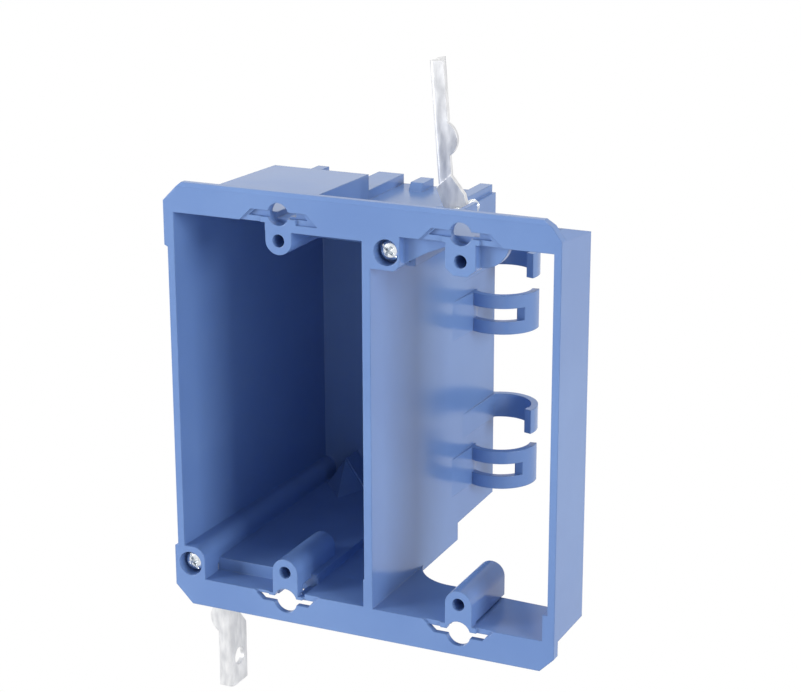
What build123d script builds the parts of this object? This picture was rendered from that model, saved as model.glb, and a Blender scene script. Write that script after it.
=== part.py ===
from build123d import *
import math
import os

os.makedirs("parts", exist_ok=True)

# Frame: X to the right, Y back into the wall, Z up. The flange rests on the wall
# face at Y = 0, so its front stands at Y = -flange_t.

# Device screws: standard gang pitch and standard strap screw pitch
gang_pitch = 46.04
device_pitch = 83.34
device_hole_r = 1.55
boss_half_w = 3.4
boss_len = 20.5
boss_end_t = 2.5
boss_foot = 3.5
hole_x = gang_pitch / 2
hole_z = device_pitch / 2

# Flange, reckoned outwards from the device screws
flange_t = 2.5
top_over = 11.43
low_over = 12.93
left_over = 30.88
right_over = 24.18
corner_cut = 4.6
rim_bevel = 0.9
side_wall = 1.8
recess = 0.9
recess_ends = (4.07, 2.07)
opening_over = 4.13
opening_under = 5.83
right_cut = (4.5, 2.4)
right_drop = (1.3, 4.5)
low_cut = 3.5
front = -flange_t
flange_left = -hole_x - left_over
flange_right = hole_x + right_over
flange_top = hole_z + top_over
flange_low = -hole_z - low_over
opening_top = hole_z + opening_over
opening_low = -hole_z - opening_under

# Closed compartment
wall_t = 2.0
divider_t = 2.1
divider_right = 0.6
box_depth = 72.5
tail_len = 23.5
side_draft = 2.4
ramp_len = 4.0
tail_ramp = 35.5
front_dip = 6.0
box_left = flange_left + recess
divider_left = divider_right - divider_t
inner_left = box_left + side_wall
step_y = box_depth - tail_len
ramp_y = box_depth - tail_ramp - ramp_len

# Heights of roof and floor, from the nearer row of device screws
high_roof_over = 6.33
roof_fall = 1.0
low_roof_over = 4.23
dip_over = 1.53
tail_under = 1.87
high_floor_over = 4.53
low_floor_over = 7.03
low_floor_rise = 0.6
sump_over = 1.73
sump_rise = 0.5
roof_split = -24.5
floor_split = -20.0
tail_roof = hole_z - tail_under
high_floor = -hole_z - high_floor_over

# Ribs on the tail's roof: distance from the wall beside them, width and height
corner_rib = (2.2, 3.2, 2.5)
wide_rib = (20.2, 7.2, 2.5)
short_rib = (21.2, 3.6, 2.1)
edge_rib = (4.3, 3.3, 2.0)
tail_rib_len = 22.0
short_rib_len = 8.5
edge_rib_len = 30.5
rib_slope = 2.0

# Open bracket side
bracket_depth = 16.0
wall_fall = 4.8
shelf_t = 1.2
shelf_over = 5.23
sweep_r = 11.6
sweep_rise = 2.3
lip_w = 1.2
lip_h = 7.2
lip_t = 3.5
sweep_flat = 7.5
divider_set = 0.6

# Steel retainers and their screws
shaft_r = 1.75
tap_clear = 0.05
shaft_len = 49.0
head_r = 2.55
head_h = 2.2
head_sink = 1.5
recess_clear = 0.55
seat_gap = 0.03
screw_clear_r = 2.15
slot_w = 0.75
slot_deep = 0.9
cross_w = 3.4
cross_deep = 1.5
upper_axis_out = 4.0
upper_axis_over = 0.13
lower_axis_in = 3.4
lower_axis_over = 2.23
house_t = 4.0
axis_top = (divider_right + upper_axis_out, hole_z + upper_axis_over)
axis_low = (box_left + lower_axis_in, -hole_z - lower_axis_over)
head_back = front + head_sink + head_h
screw_tip = head_back + shaft_len

steel_t = 1.2
fold_r = 1.0
leg_w = 3.85
leg_deep = 7.5
arm_reach = 37.4
arm_edge = -5.3
arm_lean = 4.6
arm_foot = (6.6, 9.4)
tab_r = 3.0
tab_set = 0.8
tab_t = 1.5
ear_out = 2.2
ear_low = 23.1
ear_high = 15.0
leaf_low = (15.5, 23.0)
leaf_hole = (3.7, 7.4)
leaf_hole_r = 2.4
path_gap = 0.3
rail_t = 1.3
rail_over = 0.5
rail_drop = 0.9
tip_over = 10.7
low_stand_off = 3.9
rest_top = screw_tip - tip_over
rest_low = house_t + low_stand_off
rail_end = rest_top + rail_over

# Screw houses in the corners
house_drop = 4.2
house_corner = 1.4
house_half = 3.4
channel_floor_t = 0.9
web_rise = ((5.9, 3.2), (10.0, 4.9), (11.9, 5.5))
web_out = (7.5, 6.0)
web_bulge = (5.3, 4.3)
foot_shelf = (8.5, 5.8)
closer_t = 0.5
web_t = 2.0
ridge_shift = (1.0, 1.5)
ridge_r = 3.1
ridge_t = 0.8
ridge_c = (axis_low[0] + ridge_shift[0], axis_low[1] + ridge_shift[1])
groove_fall = (3.0, 0.9)
leg_taper = (0.4, 1.2)
channel_top = ridge_c[1] + ridge_r
channel_roof = channel_top - rail_t

# Key slots
key_r = (3.1, 2.7)
key_over = (7.43, 6.33)
key_deep = 5.0
key_wing = (8.0, 7.4, 6.2)
key_wing_h = (0.9, 0.7)
key_land = 1.0
key_relief = 0.8
top_wing = (4.2, 0.5)
top_wing_t = 0.65
pocket_half = (10.2, 7.2)
pocket_tongue = 4.6
pocket_h = 2.9
pocket_t = 0.5

# Cable clips
ring_r = 9.7
ring_in = 7.7
ring_off = 5.3
band_t = 1.8
clip_pitch = 41.9
low_band = (-34.9, -24.7)
high_band = (-21.0, -14.6)
window_w = (0.8, 13.9)
window_edge = 3.4
window_reach = (14.0, 5.0)
root_half = (8.2, 5.4)
root_out = 1.0
pad_len = (12.0, 21.0)
pad_t = 0.9
hook_in = 0.25
ring_c = (divider_right + ring_off, box_depth - ring_in)

# Cable clamp hoods
hood_left = 14.1
hood_start = 14.0
hood_nose = 9.2
hood_lean = 2.0
hood_half = 5.6
hood_rise = 8.0
hood_t = 2.0
hood_slit = 0.7

# Overlap that fuses shapes, and the reach of cutting shapes past a face
bite = 0.3
past = 1.0
tiny = 1e-6


def face_of(path):
    """Face inside a closed path; a step written as (middle, end) is an arc."""
    edges, last = [], path[0]
    for step in path[1:] + path[:1]:
        end = step[1] if isinstance(step[0], tuple) else step
        if end is step:
            if math.dist(last, end) > tiny:
                edges.append(Line(last, end))
        else:
            edges.append(ThreePointArc(last, step[0], end))
        last = end
    return make_face(edges)


def along_y(path, y0, y1):
    """Prism of an X-Z outline between two depths."""
    base = Plane(origin=(0, y1, 0), x_dir=(1, 0, 0), z_dir=(0, -1, 0))
    return extrude(base * face_of(path), y1 - y0)


def along_x(path, x0, x1):
    """Prism of a Y-Z outline between two X stations."""
    base = Plane(origin=(x0, 0, 0), x_dir=(0, 1, 0), z_dir=(1, 0, 0))
    return extrude(base * face_of(path), x1 - x0)


def along_z(path, z0, z1):
    """Prism of an X-Y outline between two heights."""
    base = Plane(origin=(0, 0, z0), x_dir=(1, 0, 0), z_dir=(0, 0, 1))
    return extrude(base * face_of(path), z1 - z0)


def block(x0, x1, y0, y1, z0, z1):
    return along_y([(x0, z0), (x1, z0), (x1, z1), (x0, z1)], y0, y1)


def rod(centre, r, y0, y1):
    base = Plane(origin=(centre[0], y1, centre[1]), x_dir=(1, 0, 0), z_dir=(0, -1, 0))
    return extrude(base * Circle(r), y1 - y0)


def arc(cx, cz, r, a0, a1):
    """Start of an arc about a centre, then the arc as one path step."""
    at = [(cx + r * math.cos(math.radians(a)), cz + r * math.sin(math.radians(a)))
          for a in (a0, (a0 + a1) / 2, a1)]
    return [at[0], (at[1], at[2])]


def sections():
    """Heights along the depth as (y, z): high roof, low roof, high floor, low floor."""
    high_roof = [(front, hole_z + high_roof_over), (step_y, hole_z + high_roof_over - roof_fall),
                 (step_y, tail_roof), (box_depth, tail_roof)]
    low_roof = [(front, hole_z + low_roof_over), (0, hole_z + low_roof_over),
                (front_dip, hole_z + dip_over), (ramp_y, hole_z + dip_over),
                (ramp_y + ramp_len, tail_roof), (box_depth, tail_roof)]
    level_floor = [(front, high_floor), (box_depth, high_floor)]
    low_floor = [(front, -hole_z - low_floor_over), (step_y, -hole_z - low_floor_over + low_floor_rise),
                 (step_y, -hole_z - sump_over), (box_depth, -hole_z - sump_over + sump_rise)]
    return high_roof, low_roof, level_floor, low_floor


def inside(profile, side):
    """The same profile one wall further in; side is 1 under a roof and -1 over a floor."""
    return [(y - wall_t if y >= step_y else y, z - side * wall_t) for y, z in profile]


def stepped(plan, heights, top_x, low_x):
    """Stepped box: the left part of its roof is high, the right part of its floor is low."""
    high_roof, low_roof, level_floor, low_floor = heights
    x0, x1 = box_left - past, divider_right + past
    body = along_x(high_roof + level_floor[::-1], x0, top_x)
    body += along_x(low_roof + level_floor[::-1], top_x, low_x)
    body += along_x(low_roof + low_floor[::-1], low_x, x1)
    return body & plan


def compartment():
    far, back, reach = box_depth, box_depth - wall_t, flange_top - flange_low
    outer_plan = along_z([(box_left, front), (divider_right, front), (divider_right, far),
                          (box_left + side_draft, far)], -reach, reach)
    inner_plan = along_z([(inner_left, front - past), (divider_left, front - past),
                          (divider_left, back), (inner_left + side_draft, back)], -reach, reach)
    heights = sections()
    inner_heights = [inside(p, 1) for p in heights[:2]] + [inside(p, -1) for p in heights[2:]]
    outer = stepped(outer_plan, heights, roof_split, floor_split)
    inner = stepped(inner_plan, inner_heights, roof_split - wall_t, floor_split + wall_t)
    sump_side = block(floor_split, floor_split + wall_t, step_y - wall_t, box_depth - bite, high_floor,
                      -hole_z - sump_over + wall_t)
    return outer - inner - floor_notch() + sump_side


def floor_notch():
    """Room over the ledge at the left foot, where the high floor starts further back."""
    x0, x1, back = ridge_c[0] + ridge_r, floor_split + wall_t, foot_shelf[1] - shelf_t
    return block(x0, x1, front - past, back, opening_low, high_floor + wall_t + past)


def roof_ribs():
    """Ribs on the roof of the tail that edge the retainer's path."""
    foot = tail_roof - wall_t / 2
    ribs = [(box_left + corner_rib[0], corner_rib, tail_rib_len, 0),
            (box_left + wide_rib[0], wide_rib, tail_rib_len, 0),
            (divider_right - short_rib[0], short_rib, short_rib_len, rib_slope),
            (divider_right - edge_rib[0], edge_rib, edge_rib_len, rib_slope)]
    made = None
    for x, (_, width, height), length, slope in ribs:
        start, top = box_depth - length, tail_roof + height
        rib = along_x([(start, foot), (box_depth, foot), (box_depth, top), (start + slope, top)],
                      x, x + width)
        made = rib if made is None else made + rib
    return made


def flange_plate():
    """Bar frame with cut corners; its upper front edge is bevelled."""
    h, low, c = flange_top, flange_low, corner_cut
    left_top, left_low = hole_z - recess_ends[0], -hole_z + recess_ends[1]
    outline = [(flange_left, left_top), (flange_left, h - c), (flange_left + c, h),
               (flange_right - right_cut[0], h), (flange_right - right_cut[1], h - right_drop[0]),
               (flange_right, h - right_drop[1]), (flange_right, low + low_cut),
               (flange_right - low_cut, low), (flange_left + c, low), (flange_left, low + c),
               (flange_left, left_low), (box_left, left_low + recess / 2),
               (box_left, left_top - recess / 2)]
    plate = along_y(outline, front, 0)
    bevel = along_x([(front, h - rim_bevel), (front, h + past), (front + rim_bevel + past, h + past),
                     (front + rim_bevel, h)], flange_left - past, flange_right + past)
    left_open = [(flange_left + side_wall, opening_top), (flange_left + side_wall, left_top),
                 (inner_left, left_top - recess / 2), (inner_left, opening_low),
                 (divider_left, opening_low), (divider_left, opening_top)]
    right_open = [(divider_right, opening_top), (divider_right, -hole_z - shelf_over),
                  (flange_right - side_wall, -hole_z - shelf_over), (flange_right - side_wall, opening_top)]
    plate -= bevel
    return plate - along_y(left_open, front - past, past) - along_y(right_open, front - past, past)


def divider_edge():
    """Front strip of the divider, a little set back above its foot."""
    split_z, foot = -hole_z + recess_ends[1], opening_low - bite
    strip = block(divider_left, divider_right, front + divider_set, bite, split_z, opening_top + bite)
    return strip + block(divider_left - bite, divider_right, front, bite, foot, split_z)


def bracket_side():
    """Open side: outer wall, shelves above and below, and the lip at its foot."""
    xi, xo = flange_right - side_wall, flange_right
    top = flange_top - right_drop[0]
    wall = along_x([(front, opening_low), (bracket_depth, opening_low),
                    (bracket_depth, top - wall_fall), (front, top)], xi, xo)
    corner_x = xo - right_cut[1]
    across = Vector(xo - corner_x, 0, right_drop[0] - right_drop[1])
    inward = Vector(xo - corner_x, bracket_depth - front, -wall_fall)
    trim = Plane(origin=(corner_x, front, top), z_dir=across.cross(inward))
    wall = split(wall, bisect_by=trim, keep=Keep.BOTTOM if trim.z_dir.Z > 0 else Keep.TOP)
    lip = block(xi - lip_w, xi + bite, front, front + lip_t, opening_low + bite, opening_low + lip_h)
    return wall + lip + shelf_floor(xi) + shelf_ceiling(xi)


def shelf_floor(xi):
    """Floor of the open side, swept back along the divider."""
    cx, cy = divider_right - bite + sweep_r, bracket_depth + sweep_rise + sweep_r
    edge = arc(cx, cy, sweep_r, -84, -180)
    outline = [(divider_right - bite, -bite), (xi + bite, -bite), (xi + bite, bracket_depth),
               (cx + sweep_flat, bracket_depth + sweep_rise / 2)]
    outline += edge + [(divider_right - bite, cy + shelf_t)]
    return along_z(outline, -hole_z - shelf_over - shelf_t, -hole_z - shelf_over)


def shelf_ceiling(xi):
    x0 = axis_top[0] + house_half
    outline = [(x0, -bite), (xi + bite, -bite), (xi + bite, bracket_depth), (x0, bracket_depth)]
    return along_z(outline, opening_top, opening_top + shelf_t)


def device_bosses():
    """Four screw bosses, the two upper ones hanging and the two lower ones standing."""
    w, end = boss_half_w, front + boss_len
    made = None
    for sx in (-1, 1):
        x = sx * hole_x
        foot = opening_low + past if sx > 0 else -hole_z - boss_foot
        low = [(x - w, foot)] + arc(x, -hole_z, w, 180, 0) + [(x + w, foot)]
        root = block(x - w, x + w, front, bite, opening_low - bite, -hole_z - bite)
        head = opening_top + bite
        if sx < 0:
            up = [(x + w, head + bite)] + arc(x, hole_z, w, 0, -180) + [(x - w, head + bite)]
        else:
            side, nose = w + bite, w / 2
            up = [(x + side, head), (x + side, hole_z - nose), (x + nose, hole_z - w),
                  (x - nose, hole_z - w), (x - side, hole_z - nose), (x - side, head)]
        pair = along_y(low, front, end) + root + along_y(up, front, end)
        made = pair if made is None else made + pair
    return made


def boss_holes():
    cut = None
    for sx in (-1, 1):
        for sz in (-1, 1):
            hole = rod((sx * hole_x, sz * hole_z), device_hole_r, front - past,
                       front + boss_len - boss_end_t)
            cut = hole if cut is None else cut + hole
    return cut


def key_wings(x, zc, side):
    """Wings of a key slot: a lower one goes through, an upper one is mostly a shallow step."""
    outer, inner = zc + key_wing_h[1], zc - key_wing_h[0]
    wing = [(x - key_wing[0], side * inner), (x + key_wing[1], side * inner),
            (x + key_wing[2], side * outer), (x - key_wing[2], side * outer)]
    if side > 0:
        step = along_y(wing, front - past, front + pocket_t + top_wing_t)
        return step + block(x, x + top_wing[0], front - past, 0, zc - top_wing[1], zc + top_wing[1])
    reach = key_wing[0] + key_relief
    back = block(x - reach, x + reach, front + pocket_t + key_land, 0, -outer - key_relief, -inner)
    return along_y(wing, front - past, 0) + back


def key_slot(x, side):
    """One winged key slot with its shallow pocket; side is 1 at the top, -1 at the foot."""
    zc = hole_z + key_over[0] if side < 0 else hole_z + key_over[1]
    slot = key_wings(x, zc, side)
    if side < 0:
        slot += rod((x, side * zc), key_r[0], front - past, key_deep)
        slot += rod((x, side * zc), key_r[0] + key_relief, front + pocket_t + key_land, 0)
    else:
        slot += rod((x, side * zc), key_r[1], front - past, 0)
    near, far = opening_top, opening_top + pocket_h
    bed = along_y([(x - pocket_half[0], side * near), (x + pocket_half[0], side * near),
                   (x + pocket_half[1], side * far), (x - pocket_half[1], side * far)],
                  front - past, front + pocket_t)
    z0, z1 = sorted((side * (near - past), side * (far + past)))
    bed -= block(x - pocket_tongue, x + pocket_tongue, front - 2 * past, front + past, z0, z1)
    return slot + bed


def keyholes():
    """Winged key slots beside the device screws, cut through the flange."""
    cut = None
    for x in (-hole_x, hole_x):
        for side in (-1, 1):
            slot = key_slot(x, side)
            cut = slot if cut is None else cut + slot
    return cut


def upper_screw_house():
    """Screw block in the top corner of the open side and the channel behind it."""
    z0, top, x1 = axis_top[1] - house_drop, opening_top + bite, axis_top[0] + house_half
    face = [(divider_left, z0), (x1 - house_corner, z0), (x1, z0 + house_corner), (x1, top),
            (divider_left, top)]
    house = along_y(face, front, house_t)
    x_rail = axis_top[0] + tab_r + path_gap
    y0 = house_t - bite
    house += block(divider_right - bite, x_rail + rail_t, y0, rail_end, z0, z0 + channel_floor_t)
    house += block(x_rail, x_rail + rail_t, y0, rail_end, z0, opening_top - rail_drop)
    return house + boss_webs(x1, top)


def boss_webs(x1, top):
    """Thin curved webs on both sides of the upper boss of the open side."""
    near, far = hole_x - boss_half_w, hole_x + boss_half_w
    z0 = axis_top[1] - house_drop + house_corner
    edge = [(x1 + dx, z0 + dz) for dx, dz in web_rise]
    web = along_y([(x1, z0)] + edge + [(near + bite, top), (x1, top)], 0, web_t)
    right = [(far - bite, top - web_out[1]), (far, top - web_out[1]),
             ((far + web_bulge[0], top - web_bulge[1]), (far + web_out[0], top)), (far - bite, top)]
    return web + along_y(right, 0, web_t)


def ridge_outline():
    """Rounded cover over the lower screw, as the outer outline of its thin shell."""
    cx, cz = ridge_c
    outer = [(box_left, channel_top), (cx, channel_top)]
    return outer + arc(cx, cz, ridge_r, 90, 0)[1:]


def lower_screw_house():
    """Rounded screw block in the low left corner, and the shelf beside it."""
    cx = ridge_c[0]
    foot = opening_low - bite
    house = along_y([(box_left, foot)] + ridge_outline() + [(cx + ridge_r, foot)], front, house_t)
    x0, x1, low = box_left + foot_shelf[0], floor_split + wall_t + bite, opening_low - shelf_t
    x_house, y1, foot_top = cx + ridge_r - bite, foot_shelf[1], -hole_z - boss_foot
    y0 = y1 - shelf_t
    shelf = block(x0, x1, -bite, y1, low, opening_low) + block(x0, x1, y0, y1, low, foot_top)
    shelf += block(x_house, x0 + bite, -bite, y0 + closer_t, low, opening_low)
    return house + shelf + block(x_house, x0 + bite, y0, y0 + closer_t, low, foot_top)


def lower_channel():
    """Ridge over the lower screw, its inner wall and the rail outside the box."""
    cx, cz = ridge_c
    x_rail = axis_low[0] - tab_r - path_gap
    r_in, foot, y0 = ridge_r - ridge_t, high_floor + wall_t - bite, house_t - bite
    shell = [(inner_left - bite, channel_roof)] + [(inner_left - bite, channel_top)] + ridge_outline()[1:]
    shell += [(cx + ridge_r, foot), (cx + r_in + leg_taper[0], foot), (cx + r_in, foot + leg_taper[1])]
    shell += arc(cx, cz, r_in, 0, 60)
    shell += [(cx, channel_roof)]
    made = along_y(shell, y0, box_depth - wall_t + bite)
    made += block(x_rail - rail_t, inner_left - bite, y0, rail_end, channel_roof, channel_top)
    return made + block(x_rail - rail_t, x_rail, y0, rail_end, opening_low, channel_top)


def screw_cuts():
    """Seats and clearance holes of both screws."""
    cut = None
    for c in (axis_top, axis_low):
        seat = rod(c, head_r + recess_clear, front - past, head_back + seat_gap)
        seat += rod(c, screw_clear_r, front, house_t + past)
        cut = seat if cut is None else cut + seat
    return cut


def low_corner_cut():
    """Open groove outside the low left corner, where the retainer travels."""
    x0, x1, turn_z = box_left - past, ridge_c[0] + ridge_r - ridge_t, high_floor + wall_t + groove_fall[1]
    x2 = x1 + (turn_z - flange_low) / groove_fall[0]
    return along_y([(x0, flange_low), (x2, flange_low), (x1, turn_z), (x1, channel_roof), (x0, channel_roof)],
                   house_t, box_depth + past)


def clip_band(z0, z1, a0, a1, thick=band_t):
    """Curved band of a cable clip seen from above, between two angles."""
    outer, inner = arc(*ring_c, ring_r, a0, a1), arc(*ring_c, ring_r - thick, a1, a0)
    return along_z(outer + inner, z0, z1)


def clip_root(side, z0, z1):
    """Foot that joins one end of a band to the divider."""
    x0, yc = divider_right - bite, ring_c[1]
    far, near = yc + side * root_half[0], yc + side * root_half[1]
    outline = [(x0, far), (x0 + root_out + bite, far + side * bite), (x0 + root_out, near), (x0, near)]
    return along_z(outline[::side], z0, z1)


def clip_pad(y_root, length, z0, z1):
    """Tapered pad that runs forward along the divider from a band's root."""
    x, y0 = divider_right, y_root - length
    return along_z([(x - bite, y0), (x, y0), (x + pad_t, y_root), (x - bite, y_root)], z0, z1)


def cable_clips():
    """Two clips: each has a windowed front band and a hooked back band."""
    yc = ring_c[1]
    x0, x1 = divider_right + window_w[0], divider_right + window_w[1]
    y0, y1 = yc - window_reach[0], yc - window_reach[1]
    low_pad, high_pad = yc - root_half[0] + bite, yc + root_half[0] - bite
    made = None
    for dz in (0.0, clip_pitch):
        z0, z1 = low_band[0] + dz, low_band[1] + dz
        low = clip_band(z0, z1, -128, 10) + clip_root(-1, z0, z1)
        low -= block(x0, x1, y0, y1, z0 + window_edge, z1 - window_edge)
        low += clip_pad(low_pad, pad_len[0], z0, z1)
        h0, h1 = high_band[0] + dz, high_band[1] + dz
        high = clip_band(h0, h1, 126, -15) + clip_band(h0, h1, -2, -15, band_t + hook_in)
        high += clip_root(1, h0, h1) + clip_pad(high_pad, pad_len[1], h0, h1)
        pair = low + high
        made = pair if made is None else made + pair
    return made


def hood_shape(inset):
    """Ridge with a pointed nose that runs into the back wall, the given inset further in."""
    mid, y0, foot = box_left + hood_left, step_y + hood_start, high_floor + wall_t
    w, crest = hood_half - inset, foot + hood_rise * (1 - inset / hood_half)
    tent = [(mid - w, foot), (mid + w, foot), (mid, crest)]
    base = Plane(origin=(0, y0, 0), x_dir=(1, 0, 0), z_dir=(0, -1, 0))
    nose = loft([base * face_of(tent), Vertex(mid + hood_lean, y0 - hood_nose + inset, foot)])
    return along_y(tent, y0, box_depth - wall_t + (0 if inset else bite)) + nose


def clamp_hood():
    """Hollow hood over a cable entry in the floor, with the slit that frees it."""
    mid, y0, foot, inset = box_left + hood_left, step_y + hood_start, high_floor + wall_t, hood_t / 2
    w, back, reach = hood_half - inset, box_depth - wall_t, hood_half + past
    entry = along_z([(mid - w, y0), (mid + hood_lean, y0 - hood_nose + inset), (mid + w, y0),
                     (mid + w, back), (mid - w, back)], high_floor - past, foot)
    slit = block(mid - reach, mid + reach, y0, y0 + hood_slit, foot, foot + 2 * hood_rise)
    return entry, hood_shape(0) - hood_shape(inset) - slit


def clamp_hoods():
    """The floor's hood and its twin in the roof, half a turn about the depth."""
    entry, hood = clamp_hood()
    turn = Pos(2 * (box_left + hood_left), 0, tail_roof + high_floor) * Rot(0, 180, 0)
    return [(entry, hood), (turn * entry, turn * hood)]


def box_body():
    body = compartment() + roof_ribs() + flange_plate() + divider_edge() + bracket_side()
    body = body - low_corner_cut() + lower_channel()
    body += device_bosses() + upper_screw_house() + lower_screw_house() + cable_clips()
    body -= screw_cuts()
    body -= boss_holes()
    body -= keyholes()
    for entry, hood in clamp_hoods():
        body = body - entry + hood
    return body


def screw(centre):
    """Pan head screw with a cross recess crossed by one long slot."""
    y_head = front + head_sink
    dome = [(0, y_head), (head_r * 0.62, y_head + head_h * 0.05), (head_r * 0.9, y_head + head_h * 0.27),
            (head_r, y_head + head_h * 0.6), (head_r, head_back), (shaft_r, head_back),
            (shaft_r, screw_tip - shaft_r * 0.6), (shaft_r * 0.55, screw_tip), (0, screw_tip)]
    solid = revolve(make_face(Polyline(dome, close=True)), Axis.Y)
    slot = Box(2 * head_r + past, 2 * slot_deep, slot_w)
    slot += Box(slot_w, 2 * cross_deep, cross_w) + Box(cross_w, 2 * cross_deep, slot_w)
    solid -= (Pos(0, y_head, 0) * slot).rotate(Axis.Y, 38)
    return Pos(centre[0], 0, centre[1]) * solid


def retainer():
    """Folded steel arm about its own screw axis, its tapped tab at Y = 0."""
    left, right, tip, t = arm_edge, arm_edge + leg_w, arm_reach, steel_t
    low, high, wide = tip - ear_low, tip - ear_high, right + ear_out
    fold = arc(left + fold_r, fold_r, fold_r, 270, 180)
    section = fold + [(left, leg_deep), (left + t, leg_deep), (left + t, t)]
    section += [(wide + past, t), (wide + past, 0)]
    face = [(left, arm_foot[0]), (right, arm_foot[1]), (right, low),
            ((wide, (low + high) / 2), (right, high)), (right, tip), (left, tip)]
    leaf = [(0, arm_foot[0]), (t, arm_foot[0]), (t, tip - leaf_low[1]), (leg_deep, tip - leaf_low[0]),
            (leg_deep, tip), (0, tip)]
    arm = along_z(section, 0, tip) & along_y(face, 0, leg_deep) & along_x(leaf, left, wide)
    base = Plane(origin=(left - past, leaf_hole[0], tip - leaf_hole[1]), x_dir=(0, 1, 0), z_dir=(1, 0, 0))
    arm -= extrude(base * Circle(leaf_hole_r), t + 2 * past)
    tab = [(left, arm_foot[0]), (right, arm_foot[1] + bite), (tab_r * 0.63, tab_r * 1.63)]
    plate = along_y(tab + arc(0, 0, tab_r, 30, -160), -tab_set, tab_t - tab_set)
    return arm + plate - rod((0, 0), shaft_r + tap_clear, -tab_set - past, t + past)


def upper_retainer():
    return Pos(axis_top[0], rest_top, axis_top[1]) * retainer().rotate(Axis.Y, -arm_lean)


def lower_retainer():
    return Pos(axis_low[0], rest_low, axis_low[1]) * retainer().rotate(Axis.Y, 180)


export_step(box_body(), "parts/box_body.step")
export_step(screw(axis_top), "parts/upper_screw.step")
export_step(screw(axis_low), "parts/lower_screw.step")
export_step(upper_retainer(), "parts/upper_retainer.step")
export_step(lower_retainer(), "parts/lower_retainer.step")
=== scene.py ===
import bpy
import bmesh
import math
from mathutils import Matrix, Vector


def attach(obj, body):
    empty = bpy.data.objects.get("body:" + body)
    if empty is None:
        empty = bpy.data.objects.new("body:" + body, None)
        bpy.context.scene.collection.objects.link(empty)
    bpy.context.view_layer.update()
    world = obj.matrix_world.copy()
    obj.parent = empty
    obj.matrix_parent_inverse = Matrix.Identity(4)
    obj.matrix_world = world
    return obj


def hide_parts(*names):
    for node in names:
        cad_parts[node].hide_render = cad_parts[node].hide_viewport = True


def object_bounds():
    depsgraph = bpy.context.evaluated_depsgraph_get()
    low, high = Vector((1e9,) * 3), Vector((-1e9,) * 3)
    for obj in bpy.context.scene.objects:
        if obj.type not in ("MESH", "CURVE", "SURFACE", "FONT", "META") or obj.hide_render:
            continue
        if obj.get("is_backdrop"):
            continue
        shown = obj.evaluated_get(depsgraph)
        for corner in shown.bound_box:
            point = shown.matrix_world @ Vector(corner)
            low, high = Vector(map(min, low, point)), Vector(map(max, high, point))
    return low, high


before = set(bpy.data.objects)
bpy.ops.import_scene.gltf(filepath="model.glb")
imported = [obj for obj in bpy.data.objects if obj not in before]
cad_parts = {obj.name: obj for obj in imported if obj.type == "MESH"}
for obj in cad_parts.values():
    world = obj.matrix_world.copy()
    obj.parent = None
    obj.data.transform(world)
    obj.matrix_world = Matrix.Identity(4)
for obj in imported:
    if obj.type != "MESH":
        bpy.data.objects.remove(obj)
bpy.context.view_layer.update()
print("frame loaded")

mm = 0.001


def addObject(name, data):
    thing = bpy.data.objects.new(name, data)
    bpy.context.scene.collection.objects.link(thing)
    return thing


def meshFrom(form, name):
    mesh = bpy.data.meshes.new(name)
    form.to_mesh(mesh)
    form.free()
    return mesh


# Camera, fitted to the four device screw holes
cameraView = {
    "azimuth": 24.974,
    "elevation": 17.047,
    "roll": -0.15,
    "lens": 95.76,
    "sensor": 36.0,
    "sideways": -7.412 * mm,
    "upwards": -18.24 * mm,
    "distance": 497.951 * mm,
    "flangeFront": -2.5 * mm,
    "clip": (0.01, 10),
}


def addCamera(view):
    az, el, roll = (math.radians(view[k]) for k in ("azimuth", "elevation", "roll"))
    back = Vector((math.sin(az) * math.cos(el), -math.cos(az) * math.cos(el), math.sin(el)))
    right = Vector((math.cos(az), math.sin(az), 0))
    up = back.cross(right)
    rolledRight = math.cos(roll) * right + math.sin(roll) * up
    rolledUp = back.cross(rolledRight)
    turn = Matrix((rolledRight, rolledUp, back)).transposed()
    place = turn @ Vector((-view["sideways"], -view["upwards"], view["distance"]))
    place.y += view["flangeFront"]
    data = bpy.data.cameras.new("photoCamera")
    data.lens, data.sensor_width, data.sensor_fit = view["lens"], view["sensor"], "HORIZONTAL"
    data.clip_start, data.clip_end = view["clip"]
    camera = addObject("photoCamera", data)
    camera.matrix_world = Matrix.Translation(place) @ turn.to_4x4()
    bpy.context.scene.camera = camera


addCamera(cameraView)
print("camera set")


# Finishes: a pattern is a noise's scale and detail, a relief is its depth and strength
def srgb(r, g, b):
    def linear(c):
        c = c / 255
        return c / 12.92 if c <= 0.04045 else ((c + 0.055) / 1.055) ** 2.4
    return (linear(r), linear(g), linear(b), 1.0)


def grey(v):
    return (v, v, v, 1.0)


bluePlastic = {
    "name": "blueMouldedPlastic",
    "metallic": 0.0,
    "specular": 0.34,
    "stretch": (1.0, 1.0, 1.0),
    "colours": (srgb(103, 134, 188), srgb(111, 142, 194)),
    "colourPattern": (28.0, 4.0),
    "colourSpread": (0.35, 0.65),
    "roughness": (0.15, 0.26),
    "roughPattern": (60.0, 5.0),
    "edgeRadius": 0.35 * mm,
    "reliefPattern": (900.0, 2.0),
    "relief": (0.008 * mm, 0.1),
}

zincPlate = {
    "name": "zincPlatedSteel",
    "metallic": 1.0,
    "specular": 0.5,
    "stretch": (1.0, 1.0, 1.0),
    "colours": (srgb(206, 212, 220), srgb(244, 248, 250)),
    "colourPattern": (700.0, 4.0),
    "colourSpread": (0.3, 0.7),
    "roughness": (0.30, 0.16),
    "roughPattern": (700.0, 4.0),
    "edgeRadius": 0.15 * mm,
    "reliefPattern": (700.0, 4.0),
    "relief": (0.03 * mm, 0.3),
}

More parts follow.
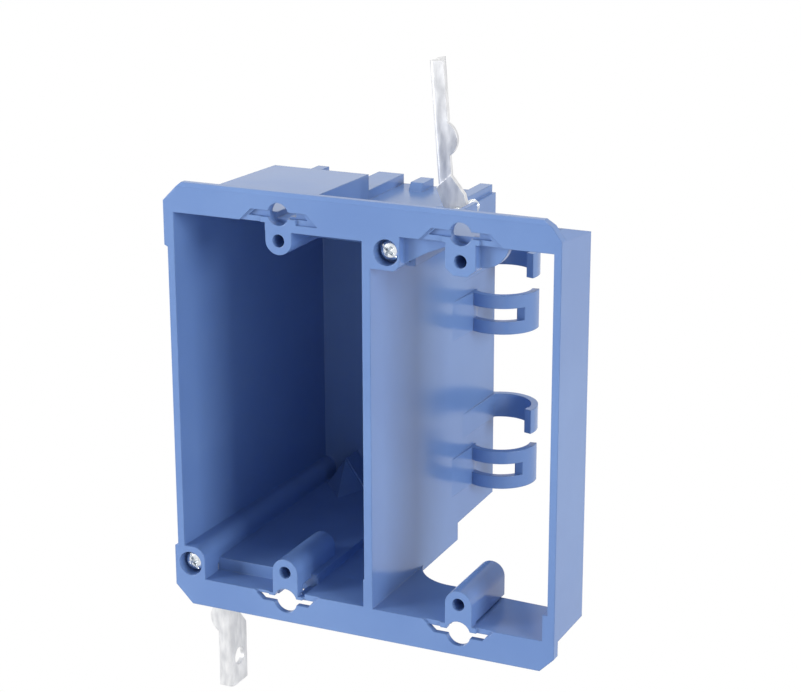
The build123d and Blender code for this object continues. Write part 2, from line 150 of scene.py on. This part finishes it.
armSteel = {
    "name": "rolledSteel",
    "metallic": 0.6,
    "specular": 0.5,
    "stretch": (1.0, 1.0, 0.35),
    "colours": (srgb(200, 201, 204), srgb(240, 240, 240)),
    "colourPattern": (500.0, 4.0),
    "colourSpread": (0.3, 0.7),
    "roughness": (0.30, 0.45),
    "roughPattern": (500.0, 4.0),
    "edgeRadius": 0.2 * mm,
    "reliefPattern": (500.0, 4.0),
    "relief": (0.02 * mm, 0.2),
}

roughSpread = (0.3, 0.7)
edgeSamples = 6


def newMaterial(name):
    material = bpy.data.materials.new(name)
    material.use_nodes = True
    tree = material.node_tree
    shader = next(n for n in tree.nodes if n.type == "BSDF_PRINCIPLED")
    return material, tree, shader


def noise(tree, vector, pattern):
    node = tree.nodes.new("ShaderNodeTexNoise")
    node.inputs["Scale"].default_value, node.inputs["Detail"].default_value = pattern
    tree.links.new(vector, node.inputs["Vector"])
    return node.outputs["Fac"]


def ramp(tree, value, spread, colours):
    node = tree.nodes.new("ShaderNodeValToRGB")
    for stop, position, colour in zip(node.color_ramp.elements, spread, colours):
        stop.position, stop.color = position, colour
    tree.links.new(value, node.inputs["Fac"])
    return node.outputs["Color"]


def makeFinish(p):
    material, tree, shader = newMaterial(p["name"])
    shader.inputs["Metallic"].default_value = p["metallic"]
    shader.inputs["Specular IOR Level"].default_value = p["specular"]
    coords = tree.nodes.new("ShaderNodeTexCoord")
    mapping = tree.nodes.new("ShaderNodeMapping")
    mapping.inputs["Scale"].default_value = p["stretch"]
    tree.links.new(coords.outputs["Object"], mapping.inputs["Vector"])
    vector = mapping.outputs["Vector"]

    colour = ramp(tree, noise(tree, vector, p["colourPattern"]), p["colourSpread"], p["colours"])
    tree.links.new(colour, shader.inputs["Base Color"])
    greys = [grey(v) for v in p["roughness"]]
    roughness = ramp(tree, noise(tree, vector, p["roughPattern"]), roughSpread, greys)
    tree.links.new(roughness, shader.inputs["Roughness"])

    edge = tree.nodes.new("ShaderNodeBevel")
    edge.samples = edgeSamples
    edge.inputs["Radius"].default_value = p["edgeRadius"]
    bump = tree.nodes.new("ShaderNodeBump")
    bump.inputs["Distance"].default_value, bump.inputs["Strength"].default_value = p["relief"]
    tree.links.new(noise(tree, vector, p["reliefPattern"]), bump.inputs["Height"])
    tree.links.new(edge.outputs["Normal"], bump.inputs["Normal"])
    tree.links.new(bump.outputs["Normal"], shader.inputs["Normal"])
    return material


def dress(node, material):
    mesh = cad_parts[node].data
    mesh.materials.clear()
    mesh.materials.append(material)


# Threaded screws, in place of the plain ones. The head's outline is in shares of its
# radius and height, and each recess row is a depth, a half length and a half width
screwForm = {
    "axes": {"upper": (4.6 * mm, 41.8 * mm), "lower": (-49.6 * mm, -43.9 * mm)},
    "bodies": {"upper": "top_screw", "lower": "bottom_screw"},
    "turned": {"upper": 38.0, "lower": 62.0},
    "crest": 1.74 * mm,
    "root": 1.3 * mm,
    "pitch": 25.4 / 32 * mm,
    "flankGain": 1.3125,
    "flankDip": 0.12,
    "threadStart": 3.2 * mm,
    "tip": 50.15 * mm,
    "tipTaper": 1.6 * mm,
    "tipNarrow": 0.55,
    "tipMargin": 0.1 * mm,
    "around": 40,
    "perPitch": 10,
    "headFront": -0.98 * mm,
    "headBack": 1.19 * mm,
    "headRadius": 2.53 * mm,
    "headOutline": [(0, 0), (0.3, 0.012), (0.55, 0.05), (0.75, 0.12), (0.88, 0.23),
                    (0.96, 0.4), (1, 0.62), (0.995, 0.8), (0.96, 1), (0, 1)],
    "headSteps": 72,
    "cross": ((-1.28 * mm, 1.59 * mm, 0.374 * mm), (0.37 * mm, 0.48 * mm, 0.255 * mm)),
    "slot": ((-1.33 * mm, 2.15 * mm, 0.26 * mm), (-0.48 * mm, 2.15 * mm, 0.26 * mm)),
    "mergeGap": 0.001 * mm,
    "sharpAngle": 32,
}


def threadRadius(y, angle, p):
    phase = (y / p["pitch"] - angle / (2 * math.pi)) % 1.0
    rise = min(1.0, max(0.0, p["flankGain"] * (1 - abs(2 * phase - 1)) - p["flankDip"]))
    fade = min(1.0, max(0.0, (y - p["threadStart"]) / p["pitch"]))
    radius = p["root"] + (p["crest"] - p["root"]) * (rise * fade)
    left, narrow = p["tip"] - y, p["tipNarrow"]
    if left < p["tipTaper"]:
        share = narrow + (1 - narrow) * left / p["tipTaper"]
        radius = min(radius, p["root"] * share + p["tipMargin"])
    return radius


def addShaft(form, p):
    length = p["tip"] - p["headBack"]
    count = int(length / p["pitch"] * p["perPitch"])
    last = None
    for i in range(count + 1):
        y = p["headBack"] + length * i / count
        ring = []
        for k in range(p["around"]):
            a = 2 * math.pi * k / p["around"]
            r = threadRadius(y, a, p)
            ring.append(form.verts.new((r * math.cos(a), y, r * math.sin(a))))
        if last:
            for k in range(p["around"]):
                n = (k + 1) % p["around"]
                form.faces.new((last[k], last[n], ring[n], ring[k]))
        last = ring
    form.faces.new(last)


def headMesh(p):
    front, high = p["headFront"], p["headBack"] - p["headFront"]
    form = bmesh.new()
    verts = [form.verts.new((x * p["headRadius"], front + y * high, 0)) for x, y in p["headOutline"]]
    edges = [form.edges.new(pair) for pair in zip(verts, verts[1:])]
    bmesh.ops.spin(form, geom=verts + edges, cent=(0, 0, 0), axis=(0, 1, 0), dvec=(0, 0, 0),
                   angle=2 * math.pi, steps=p["headSteps"], use_merge=True)
    bmesh.ops.remove_doubles(form, verts=form.verts, dist=p["mergeGap"])
    bmesh.ops.recalc_face_normals(form, faces=form.faces)
    return meshFrom(form, "head")


def addBlock(form, rows, turn):
    front, back = [[form.verts.new(turn @ Vector((sx * reach, y, sz * half)))
                    for sx, sz in ((-1, -1), (1, -1), (1, 1), (-1, 1))] for y, reach, half in rows]
    form.faces.new(front)
    form.faces.new(back)
    for k in range(4):
        n = (k + 1) % 4
        form.faces.new((front[k], front[n], back[n], back[k]))


def recessMesh(p):
    form = bmesh.new()
    for rows, degrees in ((p["cross"], 0), (p["cross"], 90), (p["slot"], 0)):
        addBlock(form, rows, Matrix.Rotation(math.radians(degrees), 4, "Y"))
    bmesh.ops.recalc_face_normals(form, faces=form.faces)
    return meshFrom(form, "recess")


def cutMesh(mesh, cutter):
    solid, tool = addObject("solid", mesh), addObject("tool", cutter)
    step = solid.modifiers.new("cut", "BOOLEAN")
    step.operation, step.solver, step.object, step.use_self = "DIFFERENCE", "EXACT", tool, True
    graph = bpy.context.evaluated_depsgraph_get()
    made = bpy.data.meshes.new_from_object(solid.evaluated_get(graph))
    for thing in (solid, tool):
        bpy.data.objects.remove(thing)
    return made


def addScrew(which, p, material):
    form = bmesh.new()
    form.from_mesh(cutMesh(headMesh(p), recessMesh(p)))
    addShaft(form, p)
    x, z = p["axes"][which]
    turn = Matrix.Rotation(math.radians(p["turned"][which]), 4, "Y")
    bmesh.ops.transform(form, verts=form.verts, matrix=Matrix.Translation((x, 0, z)) @ turn)
    bmesh.ops.recalc_face_normals(form, faces=form.faces)
    mesh = meshFrom(form, which + "ThreadedScrew")
    mesh.materials.append(material)
    mesh.shade_smooth()
    mesh.set_sharp_from_angle(angle=math.radians(p["sharpAngle"]))
    piece = addObject(which + "ThreadedScrew", mesh)
    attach(piece, p["bodies"][which])
    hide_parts(which + "_screw")


plastic, zinc, steel = (makeFinish(p) for p in (bluePlastic, zincPlate, armSteel))
dress("box_body", plastic)
for which in ("upper", "lower"):
    dress(which + "_screw", zinc)
    addScrew(which, screwForm, zinc)
    dress(which + "_retainer", steel)
print("finishes made")


# Floor and lights
studio = {
    "floor": srgb(238, 238, 240),
    "floorRoughness": 0.8,
    "floorHalf": 3.0,
    "floorGap": 0.2 * mm,
    "world": 0.36,
    "lamps": {
        "keyLight": {"place": (-1.0, -0.75, 0.28), "size": 0.5, "power": 12.0},
        "sideLight": {"place": (1.05, -0.34, 0.3), "size": 0.4, "power": 6.5},
        "topLight": {"place": (-0.15, 0.12, 1.15), "size": 0.4, "power": 5.0},
    },
}


def softLight(name, setup):
    data = bpy.data.lights.new(name, "AREA")
    data.shape, data.size, data.energy = "SQUARE", setup["size"], setup["power"]
    place = Vector(setup["place"])
    aim = (-place).to_track_quat("-Z", "Y").to_matrix().to_4x4()
    addObject(name, data).matrix_world = Matrix.Translation(place) @ aim


def whiteBehind(tree, lit, glowKind):
    path = tree.nodes.new("ShaderNodeLightPath")
    seen = path.outputs["Is Camera Ray"]
    for ray in ("Is Glossy Ray", "Is Transmission Ray"):
        either = tree.nodes.new("ShaderNodeMath")
        either.operation = "MAXIMUM"
        tree.links.new(seen, either.inputs[0])
        tree.links.new(path.outputs[ray], either.inputs[1])
        seen = either.outputs[0]
    glow = tree.nodes.new(glowKind)
    glow.inputs["Color"].default_value = grey(1.0)
    glow.inputs["Strength"].default_value = 1.0
    mix = tree.nodes.new("ShaderNodeMixShader")
    output = next(n for n in tree.nodes if n.type in ("OUTPUT_MATERIAL", "OUTPUT_WORLD"))
    tree.links.new(seen, mix.inputs[0])
    tree.links.new(lit, mix.inputs[1])
    tree.links.new(glow.outputs[0], mix.inputs[2])
    tree.links.new(mix.outputs[0], output.inputs["Surface"])


def addFloor(s):
    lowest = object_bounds()[0][2]
    form = bmesh.new()
    bmesh.ops.create_grid(form, x_segments=1, y_segments=1, size=s["floorHalf"])
    bmesh.ops.translate(form, verts=form.verts, vec=(0, 0, lowest - s["floorGap"]))
    mesh = meshFrom(form, "studioFloor")
    floor = addObject("studioFloor", mesh)
    material, tree, shader = newMaterial("studioFloor")
    shader.inputs["Base Color"].default_value = s["floor"]
    shader.inputs["Roughness"].default_value = s["floorRoughness"]
    whiteBehind(tree, shader.outputs["BSDF"], "ShaderNodeEmission")
    mesh.materials.append(material)
    floor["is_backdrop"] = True


def addWorld(s):
    world = bpy.data.worlds.new("studioWorld")
    bpy.context.scene.world = world
    world.use_nodes = True
    tree = world.node_tree
    background = next(n for n in tree.nodes if n.type == "BACKGROUND")
    background.inputs["Color"].default_value = grey(1.0)
    background.inputs["Strength"].default_value = s["world"]
    whiteBehind(tree, background.outputs["Background"], "ShaderNodeBackground")


addFloor(studio)
for name, setup in studio["lamps"].items():
    softLight(name, setup)
addWorld(studio)
bpy.context.scene.view_settings.view_transform = "Standard"
print("studio set")
